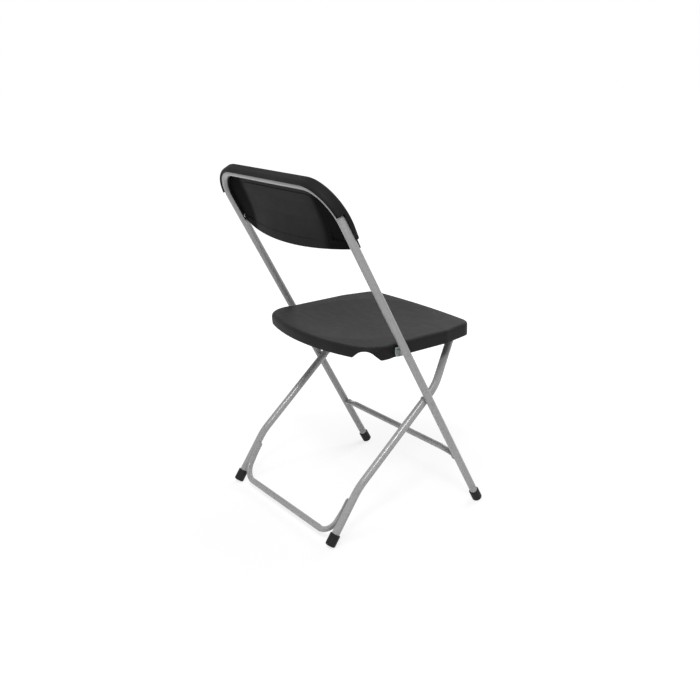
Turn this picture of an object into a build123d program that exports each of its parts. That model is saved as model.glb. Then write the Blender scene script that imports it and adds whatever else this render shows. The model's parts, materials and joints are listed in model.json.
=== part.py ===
from build123d import *
import math
import os

# Folding chair of bent steel tube with a moulded seat and backrest.
# Millimetres, +Z up. The chair faces -Y, and its left side is +X.
# Three bodies: the main frame, the rear legs that turn on it, and the seat that turns on it.
# The pieces are drawn with the floor line under the front feet at Y = 0 and moved to the middle at the end.

# Tubes
tube_diameter = 18.4
tube_wall = 1.2
bar_diameter = 15.0
bar_wall = 1.2

# Main frame: an inverted U that leans back, measured along its own slope from the floor
frame_half_width = 226.5
frame_lean = 29.4
frame_top = 911.0
frame_corner_radius = 80.0
leg_pivot_along = 335.1
seat_pivot_along = 487.6

# Front crossbar
crossbar_along = 164.6
crossbar_flattening = 31.0
crossbar_flat = 4.5
crossbar_flat_width = 15.0
crossbar_end_drop = 4.0
crossbar_bend_inset = 11.3
crossbar_tab_length = 17.0
crossbar_tab_round = 6.0
crossbar_heel_round = 4.0

# Rear legs, measured from the leg pivot along the straight part of the leg
pivot_gap = 1.8
leg_slope = 41.9
lower_bend_below = 254.0
lower_bend_radius = 150.0
rear_foot_reach = 435.0
inward_bend_above = 39.0
inward_bend_angle = 24.2
inward_bend_radius = 120.0
top_bar_corner_radius = 40.0

# Rear floor brace, measured along the lower leg from the floor
brace_along = 25.3
brace_bend_outer = 50.0
brace_bend_flat = 9.0
brace_flattening = 22.2
brace_flat_length = 27.0
brace_tip_length = 5.0
brace_flat = 4.5
brace_flat_width = 16.5

# Foot caps
cap_wall = 2.8
cap_length = 29.0
cap_floor = 4.0
cap_round = 4.0
cap_lip_round = 1.2
cap_worn_flat = 0.6

# Seat, drawn level with its pivot at the origin and then tilted
seat_tilt = 1.72
seat_side_gap = 10.3
seat_rear_flare = 17.0
seat_front_narrowing = 19.0
seat_front_sweep = 9.5
seat_narrowing_start = 137.0
seat_flare_start = 20.0
seat_rear_reach = 129.0
seat_rear_sweep = 49.6
seat_front_corner = 32.0
seat_rear_corner = 66.0
seat_top_above_pivot = 19.0
seat_rim_depth = 31.0
seat_rear_rim_rise = 7.0
seat_skin = 4.0
seat_edge_round = 8.0
dish_depth = 6.0
dish_half_span = 168.0
rib_thickness = 2.5
rib_level = 3.0
rib_spacing = 55.0

# Arched cut-outs in the seat's rear corners, which let the legs in when the chair is folded
notch_inset = 33.0
notch_behind_corner = 7.6
notch_turn = 48.0
notch_top_width = 22.0
notch_bottom_width = 72.0
notch_crown = 11.0
notch_corner_round = 26.0
notch_foot_round = 9.0
notch_foot_reach = 20.0

# Runners under the seat and sleeves on the top bar
runner_out = 90.0
runner_width = 22.0
runner_thickness = 6.4
runner_rear_end = 30.0
runner_hook = 4.5
runner_hook_drop = 4.0
runner_hook_gap = 3.3
pad_margin = 2.0
sleeve_length = 26.0
sleeve_wall = 1.5
screw_radius = 1.75
screw_head_radius = 3.5
screw_head_depth = 1.6
screw_bite = 5.0
screw_inset = 40.0

# Pivot brackets on the seat's rim
bracket_thickness = 3.0
bracket_half_length = 17.0
bracket_top = 10.0
bracket_corner_round = 9.0
bracket_rivet_out = 12.0
bracket_rivet_up = 5.0
bracket_rivet_radius = 1.6
bracket_rivet_head_radius = 3.0
bracket_rivet_head = 1.3

# Pivot rivets and washers
rivet_radius = 3.0
rivet_head_radius = 4.6
rivet_head = 1.2
rivet_dome = 0.6
seat_washer_radius = 7.5
leg_washer_radius = 6.0

# Backrest, measured along the main frame's slope
backrest_drop = 147.5
backrest_wrap_drop = 59.5
backrest_step_drop = 126.0
backrest_step_round = 6.0
backrest_lip_inset = 4.5
backrest_wrap = 4.0
backrest_wrap_turn = 55.0
backrest_cover = 8.8
backrest_low_cover = 3.3
backrest_lip_step = 0.5
backrest_cradle = 3.0
backrest_edge_round = 7.0
backrest_skin = 5.0
backrest_panel_edge = 2.0
backrest_bow = 20.4
backrest_upper_bow = 2.0
backrest_top_bow = 0.5
backrest_flare_height = 44.0
pad_inset = 66.5
pad_top_drop = 27.0
pad_corner = 40.0
pad_height = 18.6
pad_upper_height = 2.0
hem_width = 16.0
hem_height = 1.2
hem_round = 3.0
cheek_thickness = 4.0
cheek_rear = 2.0
cheek_top_drop = 19.0
backrest_rivet_drop = 130.5
backrest_rivet_forward = 3.0
backrest_rivet_radius = 2.4
backrest_rivet_head_radius = 4.5
backrest_rivet_head = 2.0
backrest_rivet_grip = 4.0
backrest_rivet_room = 8.0

# Clearances
running_clearance = 0.05
body_clearance = 0.3
weld_gap = 0.05
pin_clearance = 0.02

# Worked out from the sizes above
tube_radius = tube_diameter / 2
bar_radius = bar_diameter / 2
cap_radius = tube_radius + cap_wall
lean = math.radians(frame_lean)
slope = math.radians(leg_slope)
tilt = math.radians(seat_tilt)
leg_half_width = frame_half_width - tube_diameter - pivot_gap
frame_inner = frame_half_width - tube_radius
leg_inner = leg_half_width - tube_radius
leg_up = Vector(0, -math.cos(slope), math.sin(slope))
leg_pivot = Vector(0, leg_pivot_along * math.sin(lean), leg_pivot_along * math.cos(lean))
seat_pivot = Vector(0, seat_pivot_along * math.sin(lean), seat_pivot_along * math.cos(lean))
lower_bend = leg_pivot - leg_up * lower_bend_below
lower_leg_up = (lower_bend - Vector(0, rear_foot_reach, 0)).normalized()
sleeve_radius = tube_radius + sleeve_wall
crossbar_bend_start = frame_inner - crossbar_bend_inset


def in_seat(offset):
    """An offset turned into the level seat's own frame: how far behind and how far above."""
    behind = offset.Y * math.cos(tilt) - offset.Z * math.sin(tilt)
    above = offset.Y * math.sin(tilt) + offset.Z * math.cos(tilt)
    return behind, above


# The top bar goes as far up the legs as brings its sleeves under the seat's runners.
bar_level = rib_level - runner_thickness - body_clearance - sleeve_radius
top_bar_above = (bar_level - in_seat(leg_pivot - seat_pivot)[1]) / in_seat(leg_up)[1]
top_bar = leg_pivot + leg_up * top_bar_above
bar_behind = in_seat(top_bar - seat_pivot)[0]

# The seat fits between the posts, and its front rim hangs in front of the runners' hooks.
hook_front = sleeve_radius + body_clearance + runner_hook - bar_behind
seat_front_reach = hook_front + runner_hook_gap + seat_skin
seat_half_width = frame_inner - seat_side_gap
seat_rear_half_width = seat_half_width + seat_rear_flare
seat_front_half_width = seat_half_width - seat_front_narrowing
rear_corner_y = seat_rear_reach - seat_rear_sweep
notch_out = seat_rear_half_width - notch_inset
notch_behind = rear_corner_y + notch_behind_corner

# The backrest hangs from the frame's top and covers the tube's front.
backrest_bottom = frame_top - backrest_drop
backrest_wrap_end = frame_top - backrest_wrap_drop
backrest_step = frame_top - backrest_step_drop
backrest_flare = backrest_bottom + backrest_flare_height
backrest_front = tube_radius + backrest_cover
backrest_low_front = tube_radius + backrest_low_cover
backrest_rivet_along = frame_top - backrest_rivet_drop
pad_top = frame_top - pad_top_drop
pad_half_width = frame_half_width - pad_inset
cheek_top = frame_top - cheek_top_drop

# The main frame is drawn flat, X across, Y along its slope and Z to the front, and then leant back.
FRAME = Rot(90 - frame_lean, 0, 0)
# The lower rear legs and their brace are drawn flat too, Y up along the leg from the floor.
LOWER_LEG = Plane(
    origin=(0, rear_foot_reach, 0),
    x_dir=(1, 0, 0),
    z_dir=Vector(1, 0, 0).cross(lower_leg_up),
).location
# The seat is drawn level with its pivot at the origin and its back towards +Y.
SEAT = Pos(seat_pivot) * Rot(-seat_tilt, 0, 0)

SIDES = {"left": 1, "right": -1}


def round_tube(path, diameter, wall):
    """A tube of one diameter and wall swept along a path."""
    start = Plane(origin=path @ 0, z_dir=path % 0)
    ring = Circle(diameter / 2) - Circle(diameter / 2 - wall)
    return sweep(start * ring, path=path)


def across(radius, start, end, y, z):
    """A round bar along X from start to end, with its centre line at y and z."""
    return Pos((start + end) / 2, y, z) * Rot(0, 90, 0) * Cylinder(radius, abs(end - start))


def mirrored(shape):
    """A shape together with its mirror image on the other side of the chair."""
    return shape + mirror(shape, about=Plane.YZ)


def cap_end_height(up):
    """Height of a foot cap's end centre, so that its rounded edge just stands on the floor."""
    upright = up.Z
    level = math.hypot(up.X, up.Y)
    return cap_round * (1 - upright) + (cap_radius - cap_round) * level - cap_worn_flat


frame_up = Vector(0, math.sin(lean), math.cos(lean))
front_cap_along = cap_end_height(frame_up) / frame_up.Z
rear_cap_along = cap_end_height(lower_leg_up) / lower_leg_up.Z


def foot_cap(end, up):
    """A rubber cap pushed over a tube's end, with a small flat worn where it meets the floor."""
    cap = Cylinder(cap_radius, cap_length, align=(Align.CENTER, Align.CENTER, Align.MIN))
    rims = cap.edges().filter_by(GeomType.CIRCLE).sort_by(Axis.Z)
    cap = fillet(rims[0], cap_round)
    cap = fillet(cap.edges().filter_by(GeomType.CIRCLE).sort_by(Axis.Z)[-1], cap_lip_round)
    socket = Cylinder(tube_radius, cap_length, align=(Align.CENTER, Align.CENTER, Align.MIN))
    cap -= Pos(0, 0, cap_floor) * socket
    placed = Plane(origin=end, x_dir=(1, 0, 0), z_dir=up).location * cap
    below = Pos(end.X, end.Y, -cap_length) * Box(4 * cap_radius, 4 * cap_radius, 2 * cap_length)
    return placed - below


def front_foot_cap(side):
    """Cap on one front leg."""
    end = Vector(side * frame_half_width, 0, 0) + frame_up * front_cap_along
    return foot_cap(end, frame_up)


def rear_foot_cap(side):
    """Cap on one rear leg."""
    end = Vector(side * leg_half_width, rear_foot_reach, 0) + lower_leg_up * rear_cap_along
    return foot_cap(end, lower_leg_up)


def frame_path(start):
    """Centre line of the main frame, from one height on the right side round to the left."""
    return FilletPolyline(
        (-frame_half_width, start),
        (-frame_half_width, frame_top),
        (frame_half_width, frame_top),
        (frame_half_width, start),
        radius=frame_corner_radius,
    )


def main_frame_tube():
    """Backrest posts and front legs, bent from one tube and drilled for its rivets."""
    bent = round_tube(frame_path(front_cap_along + cap_floor), tube_diameter, tube_wall)
    reach = frame_half_width + tube_diameter
    for along in (leg_pivot_along, seat_pivot_along):
        bent -= across(rivet_radius + pin_clearance, -reach, reach, along, 0)
    inner_wall = frame_inner + tube_radius / 2
    hole = backrest_rivet_radius + pin_clearance
    bent -= across(hole, -inner_wall, inner_wall, backrest_rivet_along, backrest_rivet_forward)
    return FRAME * bent


def crossbar_tab():
    """Left end of the crossbar: flattened, turned down and laid against the leg's inner side."""
    outer = frame_inner - weld_gap
    level = crossbar_along - crossbar_end_drop
    upper = level + crossbar_flat / 2
    lower = level - crossbar_tab_length
    profile = Polyline(
        (crossbar_bend_start, upper),
        (outer, upper),
        (outer, lower),
        (outer - crossbar_flat, lower),
        (outer - crossbar_flat, upper - crossbar_flat),
        (crossbar_bend_start, upper - crossbar_flat),
        close=True,
    )
    tab = extrude(make_face(profile), amount=crossbar_flat_width / 2, both=True)
    heel = tab.edges().filter_by(Axis.Z).sort_by(lambda edge: edge.center().X + edge.center().Y)[-1]
    tab = fillet(heel, crossbar_heel_round)
    toes = tab.edges().filter_by(Axis.X).group_by(Axis.Y)[0]
    return fillet(toes, crossbar_tab_round)


def front_crossbar():
    """Tube between the front legs, flattened towards both ends."""
    half_round = crossbar_bend_start - crossbar_flattening
    middle = across(bar_radius, -half_round, half_round, crossbar_along, 0)
    middle -= across(bar_radius - bar_wall, -half_round, half_round, crossbar_along, 0)
    round_end = Plane(origin=(half_round, crossbar_along, 0), x_dir=(0, 0, 1), z_dir=(1, 0, 0))
    level = crossbar_along - crossbar_end_drop
    flat_end = Plane(origin=(crossbar_bend_start, level, 0), x_dir=(0, 0, 1), z_dir=(1, 0, 0))
    taper = loft(
        [
            round_end * Circle(bar_radius),
            flat_end * Ellipse(crossbar_flat_width / 2, crossbar_flat / 2),
        ]
    )
    return FRAME * (middle + mirrored(taper + crossbar_tab()))


def rear_leg_frame():
    """Both rear legs and the top bar under the seat, bent from one tube."""
    foot = Vector(0, rear_foot_reach, 0) + lower_leg_up * (rear_cap_along + cap_floor)
    bend_in = leg_pivot + leg_up * inward_bend_above
    drawn_in = (top_bar_above - inward_bend_above) * math.tan(math.radians(inward_bend_angle))
    stations = [
        (leg_half_width, foot),
        (leg_half_width, lower_bend),
        (leg_half_width, bend_in),
        (leg_half_width - drawn_in, top_bar),
    ]
    right = [(-out, at.Y, at.Z) for out, at in stations]
    left = [(out, at.Y, at.Z) for out, at in reversed(stations)]
    radii = [lower_bend_radius, inward_bend_radius, top_bar_corner_radius]
    path = FilletPolyline(*right, *left, radius=radii + radii[::-1])
    bent = round_tube(path, tube_diameter, tube_wall)
    reach = leg_half_width + tube_diameter
    return bent - across(rivet_radius + running_clearance, -reach, reach, leg_pivot.Y, leg_pivot.Z)


def brace_arm():
    """Left arm of the brace, pressed flatter round the bend and then flat against the leg."""
    outer = leg_inner - weld_gap
    centre_x = outer - brace_bend_outer
    centre_y = brace_along - bar_radius + brace_bend_outer
    bend = []
    for step in range(4):
        share = step / 3
        turn = math.radians(90 * share)
        thick = bar_diameter + (brace_bend_flat - bar_diameter) * share
        wide = bar_diameter + (brace_flat_width - bar_diameter) * share
        reach = brace_bend_outer - thick / 2
        place = Plane(
            origin=(centre_x + reach * math.sin(turn), centre_y - reach * math.cos(turn), 0),
            x_dir=(math.sin(turn), -math.cos(turn), 0),
            z_dir=(math.cos(turn), math.sin(turn), 0),
        )
        bend.append(place * Ellipse(thick / 2, wide / 2))
    flat = Ellipse(brace_flat / 2, brace_flat_width / 2)
    tip = Ellipse(brace_flat / 3, brace_flat_width / 3)
    up = Plane(origin=(outer - brace_flat / 2, 0, 0), x_dir=(1, 0, 0), z_dir=(0, 1, 0))
    flat_low = centre_y + brace_flattening
    top = flat_low + brace_flat_length
    flat_start = up.offset(flat_low) * flat
    flat_end = up.offset(top - brace_tip_length) * flat
    arm = loft(bend)
    arm += loft([bend[-1], flat_start])
    arm += loft([flat_start, flat_end])
    arm += loft([flat_end, up.offset(top) * tip])
    return arm


def rear_floor_brace():
    """U-shaped tube near the floor, with arms flattened against the legs' inner sides."""
    straight = leg_inner - weld_gap - brace_bend_outer
    bar = across(bar_radius, -straight, straight, brace_along, 0)
    bar -= across(bar_radius - bar_wall, -straight, straight, brace_along, 0)
    return LOWER_LEG * (bar + mirrored(brace_arm()))


def bar_sleeve(side):
    """Plastic sleeve on the top bar, under one runner."""
    out = side * runner_out
    ends = (out - sleeve_length / 2, out + sleeve_length / 2)
    sleeve = across(sleeve_radius, *ends, top_bar.Y, top_bar.Z)
    return sleeve - across(tube_radius, *ends, top_bar.Y, top_bar.Z)


def seat_outline():
    """Plan of the seat: bowed front and rear edges, sides that taper to the front and flare behind."""
    front_corner_y = seat_front_sweep - seat_front_reach
    front = ThreePointArc(
        (-seat_front_half_width, front_corner_y),
        (0, -seat_front_reach),
        (seat_front_half_width, front_corner_y),
    )
    left = Polyline(
        (seat_front_half_width, front_corner_y),
        (seat_half_width, -seat_narrowing_start),
        (seat_half_width, seat_flare_start),
        (seat_rear_half_width, rear_corner_y),
    )
    rear = ThreePointArc(
        (seat_rear_half_width, rear_corner_y),
        (0, seat_rear_reach),
        (-seat_rear_half_width, rear_corner_y),
    )
    right = mirror(left, about=Plane.YZ)
    plan = make_face([*front.edges(), *left.edges(), *rear.edges(), *right.edges()])
    plan = fillet(plan.vertices().group_by(Axis.Y)[0], seat_front_corner)
    return fillet(plan.vertices().group_by(Axis.Y)[-1], seat_rear_corner)


def rim_notch():
    """Cutter for the arch in the left rear corner of the rim."""
    bottom = seat_top_above_pivot - seat_rim_depth - body_clearance
    foot = notch_bottom_width / 2
    end = foot + notch_foot_reach
    arch = Polyline(
        (-end, bottom - notch_foot_reach),
        (end, bottom - notch_foot_reach),
        (end, bottom),
        (foot, bottom),
        (notch_top_width / 2, notch_crown),
        (-notch_top_width / 2, notch_crown),
        (-foot, bottom),
        (-end, bottom),
        close=True,
    )
    face = make_face(arch)
    face = fillet(face.vertices().group_by(Axis.Y)[-1], notch_corner_round)
    inside = foot + notch_foot_reach / 2
    feet = face.vertices().filter_by_position(Axis.X, -inside, inside).group_by(Axis.Y)[0]
    face = fillet(feet, notch_foot_round)
    block = extrude(Plane.XZ * face, amount=notch_bottom_width / 2, both=True)
    return Pos(notch_out, notch_behind, 0) * Rot(0, 0, -notch_turn) * block


def pad_ends():
    """Front and rear ends of the pads and runners under the seat."""
    front = bar_behind - sleeve_radius - body_clearance - runner_hook
    return front, -runner_rear_end


def runner_screw_places():
    """Y places of the two screws in each runner."""
    front, rear = pad_ends()
    return front + screw_inset, rear - screw_inset


def seat_shell():
    """Moulded seat: dished top, hanging rim, ribs and pads below."""
    plan = seat_outline()
    rim_bottom = seat_top_above_pivot - seat_rim_depth
    outer = extrude(Pos(0, 0, rim_bottom) * plan, amount=seat_rim_depth)
    outer = fillet(outer.faces().sort_by(Axis.Z)[-1].edges(), seat_edge_round)
    dish_radius = (dish_half_span**2 + dish_depth**2) / (2 * dish_depth)
    dish_y = (seat_rear_reach - seat_front_reach) / 2
    dish_centre = Pos(0, dish_y, seat_top_above_pivot - dish_depth + dish_radius) * Rot(90, 0, 0)
    outer -= dish_centre * Sphere(dish_radius)
    inner_plan = offset(plan, amount=-seat_skin)
    cavity = extrude(Pos(0, 0, rim_bottom) * inner_plan, amount=seat_rim_depth - seat_skin)
    cavity -= dish_centre * Sphere(dish_radius + seat_skin)

    depth = seat_front_reach + seat_rear_reach
    rib_height = seat_rim_depth
    rib_middle = rib_level + rib_height / 2
    ribs = Pos(0, dish_y, rib_middle) * Box(rib_thickness, depth, rib_height)
    for out in (rib_spacing, -rib_spacing, runner_out + rib_spacing, -runner_out - rib_spacing):
        ribs += Pos(out, dish_y, rib_middle) * Box(rib_thickness, depth, rib_height)
    rows = int(seat_front_reach // rib_spacing)
    for row in range(rows):
        y = -(row + 0.5) * rib_spacing
        ribs += Pos(0, y, rib_middle) * Box(2 * seat_half_width, rib_thickness, rib_height)
    front, rear = pad_ends()
    pad = Box(runner_width + 2 * pad_margin, rear - front, rib_height)
    ribs += mirrored(Pos(runner_out, (front + rear) / 2, rib_middle) * pad)

    seat = (outer - cavity) + (ribs & cavity)
    seat -= mirrored(rim_notch())
    rear_rim = Box(2 * notch_out, seat_rear_reach, 2 * seat_rear_rim_rise)
    seat -= Pos(0, seat_rear_reach, rim_bottom) * rear_rim
    reach = seat_half_width + seat_skin
    inside = seat_half_width - 2 * seat_skin
    seat -= mirrored(across(rivet_radius + body_clearance, inside, reach, 0, 0))
    rivet_hole = bracket_rivet_radius + pin_clearance
    for along in (bracket_rivet_out, -bracket_rivet_out):
        seat -= mirrored(across(rivet_hole, inside, reach, along, bracket_rivet_up))
    for y in runner_screw_places():
        hole = Cylinder(screw_radius + pin_clearance, 2 * (screw_bite + body_clearance))
        seat -= mirrored(Pos(runner_out, y, rib_level) * hole)
    return SEAT * seat


def seat_bracket(side):
    """Steel ear on the seat's rim that turns on the seat pivot."""
    bottom = seat_top_above_pivot - seat_rim_depth
    outline = Pos(0, (bracket_top + bottom) / 2) * Rectangle(2 * bracket_half_length, bracket_top - bottom)
    outline = fillet(outline.vertices().group_by(Axis.Y)[0], bracket_corner_round)
    outline -= Circle(rivet_radius + running_clearance)
    for along in (bracket_rivet_out, -bracket_rivet_out):
        outline -= Pos(along, bracket_rivet_up) * Circle(bracket_rivet_radius + pin_clearance)
    start = seat_half_width + weld_gap
    plate = extrude(Plane.YZ.offset(start) * outline, amount=bracket_thickness)
    if side < 0:
        plate = mirror(plate, about=Plane.YZ)
    return SEAT * plate


def seat_bracket_rivets():
    """Small rivets that hold both brackets to the rim."""
    inner = seat_half_width - seat_skin
    outer = seat_half_width + weld_gap + bracket_thickness
    rivet = across(bracket_rivet_radius, inner, outer, 0, bracket_rivet_up)
    for face, way in ((outer, 1), (inner, -1)):
        end = face + way * bracket_rivet_head
        rivet += across(bracket_rivet_head_radius, face, end, 0, bracket_rivet_up)
    pair = Pos(0, bracket_rivet_out, 0) * rivet + Pos(0, -bracket_rivet_out, 0) * rivet
    return SEAT * mirrored(pair)


def seat_runner(side):
    """Strip under the seat that rests on the top bar's sleeve, with a hook in front of it."""
    front, rear = pad_ends()
    underside = rib_level - runner_thickness
    hook_back = front + runner_hook
    hook_bottom = bar_level - runner_hook_drop
    profile = Polyline(
        (front, rib_level),
        (rear, rib_level),
        (rear, underside),
        (hook_back, underside),
        (hook_back, hook_bottom),
        (front, hook_bottom),
        close=True,
    )
    strip = extrude(Plane.YZ * make_face(profile), amount=runner_width / 2, both=True)
    for y in runner_screw_places():
        strip -= Pos(0, y, rib_level) * Cylinder(screw_radius + pin_clearance, 4 * screw_bite)
        recess = Cylinder(
            screw_head_radius + pin_clearance,
            screw_bite,
            align=(Align.CENTER, Align.CENTER, Align.MAX),
        )
        strip -= Pos(0, y, underside + screw_head_depth) * recess
    return SEAT * Pos(side * runner_out, 0, 0) * strip


def seat_runner_screws():
    """Sunk screws that hold both runners to the seat's pads."""
    head_bottom = rib_level - runner_thickness
    upright = (Align.CENTER, Align.CENTER, Align.MIN)
    shank_length = runner_thickness + screw_bite
    screw = Cylinder(screw_head_radius, screw_head_depth, align=upright)
    screw += Cylinder(screw_radius, shank_length, align=upright)
    front, rear = runner_screw_places()
    pair = Pos(runner_out, front, head_bottom) * screw + Pos(runner_out, rear, head_bottom) * screw
    return SEAT * mirrored(pair)


def saddle(radius, start, end, along):
    """A round washer along X, hollowed to lie against the left post of the main frame."""
    washer = across(radius, start, end, along, 0)
    post = Rot(-90, 0, 0) * Cylinder(tube_radius, 4 * radius)
    return washer - Pos(frame_half_width, along, 0) * post


def pivot_rivet(side, along, inner_face):
    """Rivet through one post, with a low dome outside and a flat head behind inner_face."""
    outer = frame_half_width + tube_radius
    rivet = across(rivet_radius, inner_face - rivet_head, outer, along, 0)
    rivet += across(rivet_head_radius, inner_face - rivet_head, inner_face, along, 0)
    rivet += saddle(rivet_head_radius, frame_half_width + rivet_radius, outer + rivet_dome, along)
    if side < 0:
        rivet = mirror(rivet, about=Plane.YZ)
    return FRAME * rivet


def pivot_washer(side, along, radius, inner_face):
    """Washer on a pivot rivet, between one post and the piece that turns on the rivet."""
    washer = saddle(radius, inner_face, frame_half_width, along)
    washer -= across(rivet_radius + pin_clearance, inner_face, frame_half_width, along, 0)
    if side < 0:
        washer = mirror(washer, about=Plane.YZ)
    return FRAME * washer


def leg_pivot_rivet(side):
    """Rivet that the rear leg turns on."""
    return pivot_rivet(side, leg_pivot_along, leg_inner - body_clearance)


def leg_pivot_washer(side):
    """Washer between the post and the rear leg."""
    leg_outer = leg_half_width + tube_radius
    return pivot_washer(side, leg_pivot_along, leg_washer_radius, leg_outer + body_clearance)


def seat_pivot_rivet(side):
    """Rivet that the seat turns on."""
    rim_inner = seat_half_width - seat_skin
    return pivot_rivet(side, seat_pivot_along, rim_inner - body_clearance)


def seat_pivot_washer(side):
    """Washer between the post and the seat's bracket."""
    bracket_outer = seat_half_width + weld_gap + bracket_thickness
    return pivot_washer(side, seat_pivot_along, seat_washer_radius, bracket_outer + body_clearance)


def backrest_section(along, rear_bow, front_bow, lip):
    """Cross-section of the backrest at one height, bowed towards the back between the posts."""
    post = frame_half_width
    side = post + tube_radius
    back = tube_radius - backrest_cradle
    rear = ThreePointArc((-post, back), (0, tube_radius - rear_bow), (post, back))
    inside = tube_radius - front_bow + backrest_skin
    front = ThreePointArc((post, lip), (0, inside), (-post, lip))
    left = Polyline((post, back), (side, back), (side, lip), (post, lip))
    right = Polyline((-post, lip), (-side, lip), (-side, back), (-post, back))
    level = Plane(origin=(0, along, 0), x_dir=(1, 0, 0), z_dir=(0, -1, 0))
    return level * make_face([*rear.edges(), *left.edges(), *front.edges(), *right.edges()])


def backrest_panel(low_rise, rise):
    """Curved panel between the posts, its rear face raised by low_rise at the bottom and rise above."""
    straight = frame_top - tube_radius
    low_lip = backrest_low_front - backrest_lip_step
    lip = backrest_front - backrest_lip_step
    share = (backrest_flare - backrest_bottom) / (straight - backrest_bottom)
    flare_bow = backrest_bow + (backrest_upper_bow - backrest_bow) * share
    flare_lip = low_lip + (lip - low_lip) * share
    levels = [
        (backrest_bottom - hem_round, backrest_bow, low_rise, low_lip),
        (backrest_flare, flare_bow, rise, flare_lip),
        (straight, backrest_upper_bow, rise, lip),
        (frame_top + tube_radius, backrest_top_bow, rise, lip),
    ]
    return loft([backrest_section(along, bow + up, bow, front) for along, bow, up, front in levels])


def rounded_plate(half, bottom, top, bottom_round, top_round, taper=0):
    """A thick plate in the frame's plane with rounded corners, which trims a piece of the backrest."""
    low = half - taper
    corners = Polyline((-low, bottom), (low, bottom), (half, top), (-half, top), close=True)
    outline = make_face(corners)
    outline = fillet(outline.vertices().group_by(Axis.Y)[-1], top_round)
    outline = fillet(outline.vertices().group_by(Axis.Y)[0], bottom_round)
    return extrude(outline, amount=backrest_bow + pad_height + backrest_front, both=True)


def swept_on_frame(section):
    """A section with X outward and Y to the front, swept along the frame's upper part."""
    path = frame_path(backrest_bottom)
    start = Plane(origin=path @ 0, x_dir=(-1, 0, 0), z_dir=path % 0)
    return sweep(start * section, path=path)


def backrest_rim():
    """Edge that wraps the frame's top and upper posts and goes on as a front lip further down."""
    outer = tube_radius + backrest_wrap
    turn = math.radians(backrest_wrap_turn)
    behind = Polyline(
        (0, 0),
        (2 * outer * math.cos(turn), -2 * outer * math.sin(turn)),
        (2 * outer, 0),
        close=True,
    )
    lip = Pos(outer / 2, backrest_front / 2) * Rectangle(outer, backrest_front)
    lip = fillet(lip.vertices().sort_by(lambda corner: corner.X + corner.Y)[-1], backrest_edge_round)
    section = lip + (Circle(outer) & make_face(behind)) - Circle(tube_radius + weld_gap)
    rim = swept_on_frame(section)
    width = 2 * (frame_half_width + tube_diameter)
    bare = Box(width, 2 * backrest_wrap_end, width, align=(Align.CENTER, Align.CENTER, Align.MAX))
    rim -= Pos(0, 0, tube_radius - backrest_cradle) * bare
    slant = Polyline(
        (backrest_wrap_end, backrest_front),
        (backrest_bottom, backrest_low_front),
        (backrest_bottom, 2 * backrest_front),
        (backrest_wrap_end, 2 * backrest_front),
        close=True,
    )
    rim -= extrude(Plane.YZ * make_face(slant), amount=width, both=True)
    side = frame_half_width + outer
    lip_end = rounded_plate(
        side, backrest_step, backrest_wrap_end, backrest_step_round, weld_gap, backrest_lip_inset
    )
    upper = Box(width, width, width, align=(Align.CENTER, Align.MIN, Align.CENTER))
    return rim & (lip_end + Pos(0, backrest_wrap_end, 0) * upper)


def backrest_cheeks():
    """Walls of the backrest along the inner sides of both posts."""
    low = backrest_rivet_along - 2 * backrest_rivet_head_radius
    inner = -tube_radius - weld_gap - cheek_thickness / 2
    depth = cheek_rear + tube_radius
    section = Pos(inner, depth / 2 - cheek_rear) * Rectangle(cheek_thickness, depth)
    walls = swept_on_frame(section)
    return walls & rounded_plate(frame_half_width, low, cheek_top, cheek_thickness, cheek_thickness)


def backrest_shell():
    """Moulded backrest: a curved panel in front of the posts, with a rim and two inner cheeks."""
    edge = frame_half_width + backrest_panel_edge
    top = frame_top + backrest_panel_edge
    corner = frame_corner_radius + backrest_panel_edge
    shell = backrest_panel(0, 0) & rounded_plate(edge, backrest_bottom, top, hem_round, corner)
    pad = rounded_plate(pad_half_width, backrest_bottom, pad_top, hem_round, pad_corner)
    shell += backrest_panel(pad_height, pad_upper_height) & pad
    hem_top = backrest_bottom + hem_width
    hem = rounded_plate(edge, backrest_bottom, hem_top, hem_round, hem_round)
    shell += backrest_panel(pad_height + hem_height, pad_upper_height + hem_height) & hem
    shell += backrest_rim()
    shell += backrest_cheeks()
    shell -= swept_on_frame(Circle(tube_radius + weld_gap))
    y = backrest_rivet_along
    z = backrest_rivet_forward
    head_seat = frame_inner - weld_gap - cheek_thickness
    shell -= mirrored(across(backrest_rivet_radius + pin_clearance, head_seat, frame_half_width, y, z))
    pocket = backrest_rivet_head_radius + body_clearance
    shell -= mirrored(across(pocket, head_seat - backrest_rivet_room, head_seat, y, z))
    return FRAME * shell


def backrest_rivet(side):
    """Blind rivet through a cheek of the backrest into one post."""
    seat = frame_inner - weld_gap - cheek_thickness
    y = backrest_rivet_along
    z = backrest_rivet_forward
    rivet = across(backrest_rivet_radius, seat, frame_inner + backrest_rivet_grip, y, z)
    rivet += across(backrest_rivet_head_radius, seat - backrest_rivet_head, seat, y, z)
    if side < 0:
        rivet = mirror(rivet, about=Plane.YZ)
    return FRAME * rivet


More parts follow.
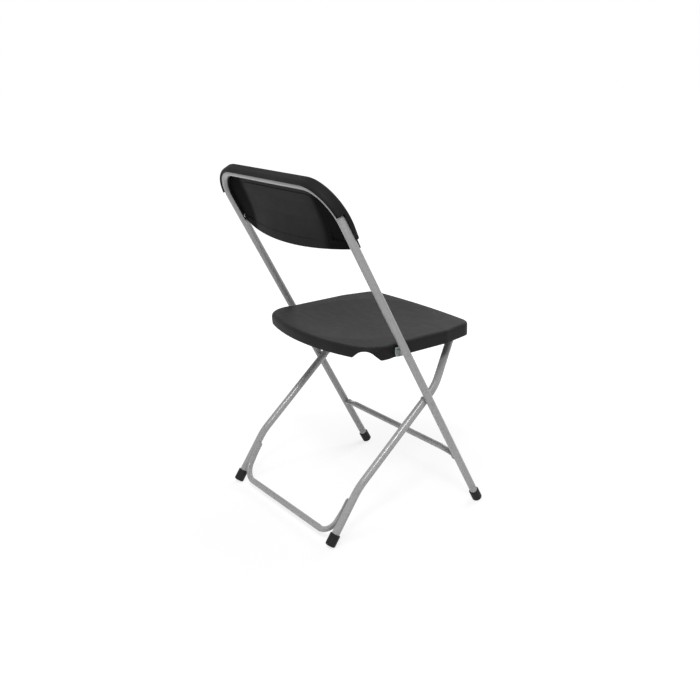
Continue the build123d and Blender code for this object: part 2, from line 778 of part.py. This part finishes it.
pieces = {
    "main_frame_tube": main_frame_tube(),
    "front_crossbar": front_crossbar(),
    "backrest_shell": backrest_shell(),
    "rear_leg_frame": rear_leg_frame(),
    "rear_floor_brace": rear_floor_brace(),
    "seat_shell": seat_shell(),
    "seat_bracket_rivets": seat_bracket_rivets(),
    "seat_runner_screws": seat_runner_screws(),
}
for side_name, way in SIDES.items():
    pieces[side_name + "_front_foot_cap"] = front_foot_cap(way)
    pieces[side_name + "_rear_foot_cap"] = rear_foot_cap(way)
    pieces[side_name + "_backrest_rivet"] = backrest_rivet(way)
    pieces[side_name + "_leg_pivot_rivet"] = leg_pivot_rivet(way)
    pieces[side_name + "_leg_pivot_washer"] = leg_pivot_washer(way)
    pieces[side_name + "_seat_pivot_rivet"] = seat_pivot_rivet(way)
    pieces[side_name + "_seat_pivot_washer"] = seat_pivot_washer(way)
    pieces[side_name + "_bar_sleeve"] = bar_sleeve(way)
    pieces[side_name + "_seat_bracket"] = seat_bracket(way)
    pieces[side_name + "_seat_runner"] = seat_runner(way)

# The origin is on the floor, at the middle of the chair's width and depth.
boxes = [piece.bounding_box() for piece in pieces.values()]
front_edge = min(box.min.Y for box in boxes)
rear_edge = max(box.max.Y for box in boxes)
centred = Pos(0, -(front_edge + rear_edge) / 2, 0)

os.makedirs("parts", exist_ok=True)
for name, piece in pieces.items():
    export_step(centred * piece, "parts/" + name + ".step")

print("leg pivot", centred.position + leg_pivot)
print("seat pivot", centred.position + seat_pivot)
print("top bar", centred.position + top_bar)
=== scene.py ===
import json

import bpy
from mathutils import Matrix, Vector

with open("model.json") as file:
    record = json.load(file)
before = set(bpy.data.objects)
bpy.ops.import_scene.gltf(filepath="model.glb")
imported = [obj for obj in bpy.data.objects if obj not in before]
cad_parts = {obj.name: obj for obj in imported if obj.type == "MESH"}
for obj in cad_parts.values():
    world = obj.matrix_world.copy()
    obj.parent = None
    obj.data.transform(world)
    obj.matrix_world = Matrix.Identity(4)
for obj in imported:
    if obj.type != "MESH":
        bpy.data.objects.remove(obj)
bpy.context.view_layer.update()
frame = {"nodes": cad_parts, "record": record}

NODES = frame["nodes"]

# Camera, worked out from the photograph's vanishing lines: metres, and millimetres for lens and sensor
CAMERA_PLACE = Vector((-1.67306, 1.21067, 1.02411))
CAMERA_LOOK = Vector((0.7720, -0.5592, -0.3024))
CAMERA_LENS = 46.33
CAMERA_SENSOR = 36.0
IMAGE_WIDTH = 700
HALF_PIXEL = 0.5 / IMAGE_WIDTH

# Colours, linear
PAINT_COLOR = (0.37, 0.37, 0.367)
PAINT_DARK = (0.34, 0.34, 0.337)
PAINT_WORN = (0.16, 0.155, 0.15)
PLASTIC_COLOR = (0.0085, 0.0085, 0.0090)
PLASTIC_PALE = (0.0120, 0.0120, 0.0126)
PLASTIC_EDGE = (0.030, 0.030, 0.031)
# Near-black painted shade, for recesses and for the backrest's channels beside its raised middle
PAINTED_SHADE_COLOR = (0.0025, 0.0025, 0.0026)
RUBBER_COLOR = (0.007, 0.007, 0.007)
RUBBER_DUST = (0.020, 0.019, 0.018)
WASHER_COLOR = (0.46, 0.51, 0.48)
BRIGHT_COLOR = (0.90, 0.90, 0.88)
FLOOR_COLOR = (0.95, 0.95, 0.95)
FLOOR_SHADE = (0.26, 0.26, 0.26)
WHITE = (1, 1, 1, 1)

# Stage: the floor's half side and glow, where it reaches full white, and the world's strength as a light
FLOOR_HALF = 30.0
FLOOR_GLOW = 0.79
SHADOW_REACH = (0.5, 1.1)
WORLD_LIGHT = 0.36
CEILING_RISE = (0.40, 0.80)
CEILING_SHARE = 0.35

# Lamps: where each hangs and points, the side of its square in metres, and its power in watts
LAMPS = {
    "key": {"place": (-0.45, 1.15, 2.7), "aim": (0, 0, 0.4), "size": 1.3, "power": 26},
    "spark": {"place": (-1.45, 1.2, 2.2), "aim": (0, 0, 0.4), "size": 0.45, "power": 24},
    "front": {"place": (0.5, -1.8, 2.2), "aim": (0, 0, 0.3), "size": 1.6, "power": 34},
}

# Sizes of surface detail, metres
EDGE_ROUND = 0.0012
SEAT_EDGE_ROUND = 0.008
GRAIN_DEPTH = 0.00012
PEEL_DEPTH = 0.00008
FOOT_WEAR_HEIGHT = 0.06
DUST_HEIGHT = 0.03
# Painted shade beside the backrest's raised middle: where it begins across the panel, and its blur
PAD_HALF_WIDTH = 0.153
PAD_BLUR = 0.050
# How far the occlusion mask for painted shade looks for nearby surfaces
RECESS_REACH = 0.04

# Noise: scales are per metre, and a range is the part of a noise that is stretched to full contrast
NOISE_MIDDLE = (0.35, 0.65)
NOISE_WIDE = (0.30, 0.70)
PAINT_CLOUD_SCALE = 14
PAINT_FLECK_SCALE = 1500
PAINT_PATCH_SCALE = 24
PAINT_PEEL_SCALE = 260
SCUFF_SCALE = 220
SCUFF_STRETCH = (1, 1, 0.35)
SCUFF_RANGE = (0.56, 0.64)
PLASTIC_CLOUD_SCALE = 9
PLASTIC_GRAIN_SCALE = 1400
RUB_SCALE = 45
RUB_RANGE = (0.35, 0.60)
SMEAR_SCALE = 30
SMEAR_STRETCH = (1, 2.5, 1)
DUST_SCALE = 160
DUST_RANGE = (0.35, 0.70)
RUBBER_GRAIN_SCALE = 900
SCRATCH_SCALE = 300
SCRATCH_STRETCH = (1, 8, 1)

# Gloss, roughness and bump strength
PAINT_GLOSS = 0.5
PAINT_ROUGHNESS = (0.175, 0.190)
PAINT_PEEL = 0.08
RUBBER_GLOSS = 0.25
RUBBER_ROUGHNESS = (0.50, 0.75)
RUBBER_GRAIN = 0.4
PLASTIC_ROUGH_SPREAD = 0.06
RECESS_ROUGHNESS = 1.0
STEEL_ROUGH_SPREAD = 0.12
STEEL_SCRATCH = 0.15

# Shares of a tint, and the dust at which rubber is at its roughest
CLOUD_SHARE = 0.5
FLECK_SHARE = 0.5
RUB_SHARES = (0.2, 0.8)
DUST_SHARES = (0.1, 0.8)
FULL_DUST = 0.6
SCRATCH_SHADE = 0.8

# Masks: the values between which each goes from 0 to 1, and the samples taken for edges and recesses
# RECESS_SHARES shape the occlusion mask that sets the painted shade
RECESS_SHARES = (0.30, 0.80)
EDGE_TURN = (0.98, 0.80)
REAR_FACING = (0.5, 0.7)
DOWN_FACING = (0.0, -0.15)
EDGE_SAMPLES = 6
RECESS_SAMPLES = 8


def new_material(name):
    """A node material with its tree and its principled shader."""
    material = bpy.data.materials.new(name)
    material.use_nodes = True
    tree = material.node_tree
    return material, tree, tree.nodes["Principled BSDF"]


def add(tree, kind, **settings):
    """A node of one kind, with inputs given by name and properties by attribute."""
    node = tree.nodes.new(kind)
    for key, value in settings.items():
        if key in node.inputs:
            node.inputs[key].default_value = value
        else:
            setattr(node, key, value)
    return node


def noise(tree, scale, detail, roughness=0.5, stretch=(1, 1, 1)):
    """A noise texture in the object's own coordinates, with its scale per metre."""
    place = add(tree, "ShaderNodeTexCoord")
    mapping = add(tree, "ShaderNodeMapping", Scale=stretch)
    texture = add(tree, "ShaderNodeTexNoise", Scale=scale, Detail=detail, Roughness=roughness)
    tree.links.new(place.outputs["Object"], mapping.inputs["Vector"])
    tree.links.new(mapping.outputs["Vector"], texture.inputs["Vector"])
    return texture.outputs["Fac"]


def spread(tree, value, low, high, to_low=0.0, to_high=1.0):
    """A value stretched from one range to another and clamped."""
    node = add(tree, "ShaderNodeMapRange")
    node.inputs["From Min"].default_value = low
    node.inputs["From Max"].default_value = high
    node.inputs["To Min"].default_value = to_low
    node.inputs["To Max"].default_value = to_high
    tree.links.new(value, node.inputs["Value"])
    return node.outputs["Result"]


def calculated(tree, operation, first, second=0.0):
    """The result of a calculation on one or two values, each a number or another node's result."""
    node = add(tree, "ShaderNodeMath", operation=operation)
    for socket, value in zip(node.inputs, (first, second)):
        if isinstance(value, (int, float)):
            socket.default_value = value
        else:
            tree.links.new(value, socket)
    return node.outputs[0]


def mixed(tree, share, first, second):
    """A colour between two colours, either of them fixed or another node's result."""
    node = add(tree, "ShaderNodeMix", data_type="RGBA")
    tree.links.new(share, node.inputs["Factor"])
    for key, color in (("A", first), ("B", second)):
        if isinstance(color, tuple):
            node.inputs[key].default_value = (*color, 1)
        else:
            tree.links.new(color, node.inputs[key])
    return node.outputs["Result"]


def rounded_normal(tree, radius=EDGE_ROUND):
    """A normal that rounds the sharp edges a little."""
    bevel = add(tree, "ShaderNodeBevel", samples=EDGE_SAMPLES, Radius=radius)
    return bevel.outputs["Normal"]


def edge_share(tree, normal):
    """1 on the edges that a rounded normal turns, and 0 on the faces."""
    surface = add(tree, "ShaderNodeNewGeometry")
    along = add(tree, "ShaderNodeVectorMath", operation="DOT_PRODUCT")
    tree.links.new(normal, along.inputs[0])
    tree.links.new(surface.outputs["Normal"], along.inputs[1])
    return spread(tree, along.outputs["Value"], *EDGE_TURN)


def bumped(tree, shader, height, distance, strength, normal=None):
    """Feeds a height into the shader's normal, on top of the rounded edges where there are any."""
    node = add(tree, "ShaderNodeBump", Distance=distance, Strength=strength)
    tree.links.new(height, node.inputs["Height"])
    if normal is not None:
        tree.links.new(normal, node.inputs["Normal"])
    tree.links.new(node.outputs["Normal"], shader.inputs["Normal"])


def height_above_floor(tree):
    """The place's height in the chair's own frame at rest."""
    place = add(tree, "ShaderNodeTexCoord")
    parts = add(tree, "ShaderNodeSeparateXYZ")
    tree.links.new(place.outputs["Object"], parts.inputs["Vector"])
    return parts.outputs["Z"]


def frame_paint():
    """Silver-grey satin paint on steel tube, scuffed near the feet."""
    material, tree, shader = new_material("frame_paint")
    shader.inputs["Specular IOR Level"].default_value = PAINT_GLOSS
    cloud = spread(tree, noise(tree, PAINT_CLOUD_SCALE, detail=4), *NOISE_MIDDLE)
    fleck = spread(tree, noise(tree, PAINT_FLECK_SCALE, detail=1), *NOISE_WIDE, 0.0, FLECK_SHARE)
    tone = calculated(tree, "ADD", calculated(tree, "MULTIPLY", cloud, CLOUD_SHARE), fleck)
    color = mixed(tree, tone, PAINT_DARK, PAINT_COLOR)
    low = spread(tree, height_above_floor(tree), FOOT_WEAR_HEIGHT, 0.0)
    marks = noise(tree, SCUFF_SCALE, detail=5, roughness=0.65, stretch=SCUFF_STRETCH)
    worn = calculated(tree, "MULTIPLY", low, spread(tree, marks, *SCUFF_RANGE))
    tree.links.new(mixed(tree, worn, color, PAINT_WORN), shader.inputs["Base Color"])
    patch = noise(tree, PAINT_PATCH_SCALE, detail=2)
    tree.links.new(spread(tree, patch, *NOISE_WIDE, *PAINT_ROUGHNESS), shader.inputs["Roughness"])
    bumped(tree, shader, noise(tree, PAINT_PEEL_SCALE, detail=2), PEEL_DEPTH, PAINT_PEEL)
    return material


def unshaded_share(tree):
    """0 deep in a corner or under an edge, and 1 on faces that stand free: where it is low, shade is
    painted into the colour.
    """
    shade = add(tree, "ShaderNodeAmbientOcclusion", samples=RECESS_SAMPLES, Distance=RECESS_REACH)
    return spread(tree, shade.outputs["AO"], *RECESS_SHARES)


def shade_beside_pad(tree):
    """1 on the rear face of the backrest between its raised middle and the posts, and 0 elsewhere: where
    shade is painted into the colour.
    """
    place = add(tree, "ShaderNodeTexCoord")
    where = add(tree, "ShaderNodeSeparateXYZ")
    facing = add(tree, "ShaderNodeSeparateXYZ")
    tree.links.new(place.outputs["Object"], where.inputs["Vector"])
    tree.links.new(place.outputs["Normal"], facing.inputs["Vector"])
    out = calculated(tree, "ABSOLUTE", where.outputs["X"])
    outside = spread(tree, out, PAD_HALF_WIDTH - PAD_BLUR, PAD_HALF_WIDTH)
    rear = spread(tree, facing.outputs["Y"], *REAR_FACING)
    under = spread(tree, facing.outputs["Z"], *DOWN_FACING)
    return calculated(tree, "MULTIPLY", outside, calculated(tree, "MULTIPLY", rear, under))


def moulded_plastic(name, color, pale, gloss, rough, grain, shaded_channels=False, radius=EDGE_ROUND):
    """Black moulded plastic with a fine grain: rubbed paler along its edges, matt in recesses, with shade
    painted dark into its recesses.
    """
    material, tree, shader = new_material(name)
    shader.inputs["Specular IOR Level"].default_value = gloss
    normal = rounded_normal(tree, radius)
    free = unshaded_share(tree)
    if shaded_channels:
        # Painted shade on the backrest's rear, in the channels between its raised middle and the posts
        free = calculated(tree, "SUBTRACT", free, shade_beside_pad(tree))
    cloud = spread(tree, noise(tree, PLASTIC_CLOUD_SCALE, detail=5), *NOISE_MIDDLE)
    # Painted shade: the colour goes to near-black where the occlusion mask is low
    body = mixed(tree, free, PAINTED_SHADE_COLOR, mixed(tree, cloud, color, pale))
    patchy = spread(tree, noise(tree, RUB_SCALE, detail=4), *RUB_RANGE, *RUB_SHARES)
    rubbed = calculated(tree, "MULTIPLY", edge_share(tree, normal), patchy)
    tree.links.new(mixed(tree, rubbed, body, PLASTIC_EDGE), shader.inputs["Base Color"])
    smear = noise(tree, SMEAR_SCALE, detail=5, roughness=0.6, stretch=SMEAR_STRETCH)
    handled = spread(tree, smear, *NOISE_WIDE, rough, rough + PLASTIC_ROUGH_SPREAD)
    matt = spread(tree, free, 0.0, 1.0, RECESS_ROUGHNESS, 0.0)
    tree.links.new(calculated(tree, "MAXIMUM", handled, matt), shader.inputs["Roughness"])
    bumped(tree, shader, noise(tree, PLASTIC_GRAIN_SCALE, detail=2), GRAIN_DEPTH, grain, normal)
    return material


def rubber():
    """Matt black rubber, dusty towards the floor."""
    material, tree, shader = new_material("black_rubber")
    shader.inputs["Specular IOR Level"].default_value = RUBBER_GLOSS
    low = spread(tree, height_above_floor(tree), DUST_HEIGHT, 0.0, *DUST_SHARES)
    specks = spread(tree, noise(tree, DUST_SCALE, detail=5), *DUST_RANGE)
    dust = calculated(tree, "MULTIPLY", low, specks)
    tree.links.new(mixed(tree, dust, RUBBER_COLOR, RUBBER_DUST), shader.inputs["Base Color"])
    tree.links.new(spread(tree, dust, 0.0, FULL_DUST, *RUBBER_ROUGHNESS), shader.inputs["Roughness"])
    grain = noise(tree, RUBBER_GRAIN_SCALE, detail=3)
    bumped(tree, shader, grain, GRAIN_DEPTH, RUBBER_GRAIN, rounded_normal(tree))
    return material


def steel(name, color, rough):
    """Plated steel with fine scratches."""
    material, tree, shader = new_material(name)
    shader.inputs["Metallic"].default_value = 1.0
    scratch = noise(tree, SCRATCH_SCALE, detail=4, roughness=0.6, stretch=SCRATCH_STRETCH)
    dark = tuple(SCRATCH_SHADE * channel for channel in color)
    tint = mixed(tree, spread(tree, scratch, *NOISE_MIDDLE), dark, color)
    tree.links.new(tint, shader.inputs["Base Color"])
    dull = spread(tree, scratch, *NOISE_WIDE, rough, rough + STEEL_ROUGH_SPREAD)
    tree.links.new(dull, shader.inputs["Roughness"])
    bumped(tree, shader, scratch, PEEL_DEPTH, STEEL_SCRATCH, rounded_normal(tree))
    return material


def finishes():
    """Every finish by its name: one for each material slot, and two for pieces with one of their own."""
    return {
        "frame_paint": frame_paint(),
        "black_plastic": moulded_plastic(
            "black_plastic",
            PLASTIC_COLOR,
            PLASTIC_PALE,
            gloss=0.15,
            rough=0.56,
            grain=0.5,
            radius=SEAT_EDGE_ROUND,
        ),
        "black_rubber": rubber(),
        "dark_plastic": moulded_plastic(
            "dark_plastic", RUBBER_COLOR, PLASTIC_COLOR, gloss=0.15, rough=0.50, grain=0.35
        ),
        "bare_steel": steel("bare_steel", WASHER_COLOR, rough=0.35),
        "back_plastic": moulded_plastic(
            "back_plastic", PLASTIC_COLOR, PLASTIC_PALE, gloss=0.12, rough=0.60, grain=0.3, shaded_channels=True
        ),
        "bright_rivet_steel": steel("bright_rivet_steel", BRIGHT_COLOR, rough=0.25),
    }


def finish_name(part):
    """The finish of a sub-part: its slot's, but the backrest and two kinds of rivet have another."""
    node = part["node"]
    if node.endswith("pivot_rivet"):
        return "frame_paint"
    if node.endswith("backrest_rivet"):
        return "bright_rivet_steel"
    if node == "backrest_shell":
        return "back_plastic"
    return part["material_slot"]


def dress_parts():
    """Gives each carried-over node its one material."""
    materials = finishes()
    for part in frame["record"]["subparts"]:
        mesh = NODES[part["node"]].data
        mesh.materials.clear()
        mesh.materials.append(materials[finish_name(part)])


def camera_at_photo():
    """A camera at the photograph's place and angle."""
    data = bpy.data.cameras.new("camera")
    data.sensor_width = CAMERA_SENSOR
    data.lens = CAMERA_LENS
    data.shift_x = -HALF_PIXEL
    data.shift_y = HALF_PIXEL
    camera = bpy.data.objects.new("camera", data)
    camera.location = CAMERA_PLACE
    camera.rotation_euler = CAMERA_LOOK.to_track_quat("-Z", "Y").to_euler()
    bpy.context.scene.collection.objects.link(camera)
    bpy.context.scene.camera = camera


def area_light(name, place, aim, size, power):
    """A soft square lamp."""
    data = bpy.data.lights.new(name, "AREA")
    data.size = size
    data.energy = power
    lamp = bpy.data.objects.new(name, data)
    lamp.location = place
    lamp.rotation_euler = (Vector(aim) - Vector(place)).to_track_quat("-Z", "Y").to_euler()
    bpy.context.scene.collection.objects.link(lamp)


def seen_directly(tree):
    """1 for what the camera sees, also in a mirror or through glass, and 0 for light that scatters."""
    ray = add(tree, "ShaderNodeLightPath").outputs
    mirrored = calculated(tree, "MAXIMUM", ray["Is Glossy Ray"], ray["Is Transmission Ray"])
    return calculated(tree, "MAXIMUM", ray["Is Camera Ray"], mirrored)


def floor_finish():
    """A pale floor that looks white, and still shows the chair's soft shadow near the feet."""
    material, tree, shader = new_material("floor")
    tree.nodes.remove(shader)
    seen = seen_directly(tree)
    diffuse = add(tree, "ShaderNodeBsdfDiffuse")
    tree.links.new(mixed(tree, seen, FLOOR_COLOR, FLOOR_SHADE), diffuse.inputs["Color"])
    place = add(tree, "ShaderNodeTexCoord")
    distance = add(tree, "ShaderNodeVectorMath", operation="LENGTH")
    tree.links.new(place.outputs["Object"], distance.inputs[0])
    white = spread(tree, distance.outputs["Value"], *SHADOW_REACH, FLOOR_GLOW, 1.0)
    glow = add(tree, "ShaderNodeEmission", Color=WHITE)
    tree.links.new(calculated(tree, "MULTIPLY", seen, white), glow.inputs["Strength"])
    both = add(tree, "ShaderNodeAddShader")
    tree.links.new(diffuse.outputs[0], both.inputs[0])
    tree.links.new(glow.outputs[0], both.inputs[1])
    tree.links.new(both.outputs[0], tree.nodes["Material Output"].inputs["Surface"])
    return material


def white_floor():
    """A wide flat floor at the chair's feet."""
    half = FLOOR_HALF
    corners = [(-half, -half, 0), (half, -half, 0), (half, half, 0), (-half, half, 0)]
    mesh = bpy.data.meshes.new("floor")
    mesh.from_pydata(corners, [], [(0, 1, 2, 3)])
    mesh.materials.append(floor_finish())
    floor = bpy.data.objects.new("floor", mesh)
    bpy.context.scene.collection.objects.link(floor)


def white_world():
    """A studio world: a white backdrop under a darker ceiling, softer as a light than it looks."""
    world = bpy.data.worlds.new("studio")
    world.use_nodes = True
    bpy.context.scene.world = world
    tree = world.node_tree
    background = tree.nodes["Background"]
    background.inputs["Color"].default_value = WHITE
    direction = add(tree, "ShaderNodeTexCoord")
    parts = add(tree, "ShaderNodeSeparateXYZ")
    tree.links.new(direction.outputs["Generated"], parts.inputs["Vector"])
    ceiling = spread(tree, parts.outputs["Z"], *CEILING_RISE, 1.0, CEILING_SHARE)
    strength = spread(tree, seen_directly(tree), 0.0, 1.0, WORLD_LIGHT, 1.0)
    tree.links.new(calculated(tree, "MULTIPLY", strength, ceiling), background.inputs["Strength"])


dress_parts()
camera_at_photo()
white_floor()
white_world()
for lamp_name, settings in LAMPS.items():
    area_light(lamp_name, **settings)
bpy.context.scene.view_settings.view_transform = "Standard"
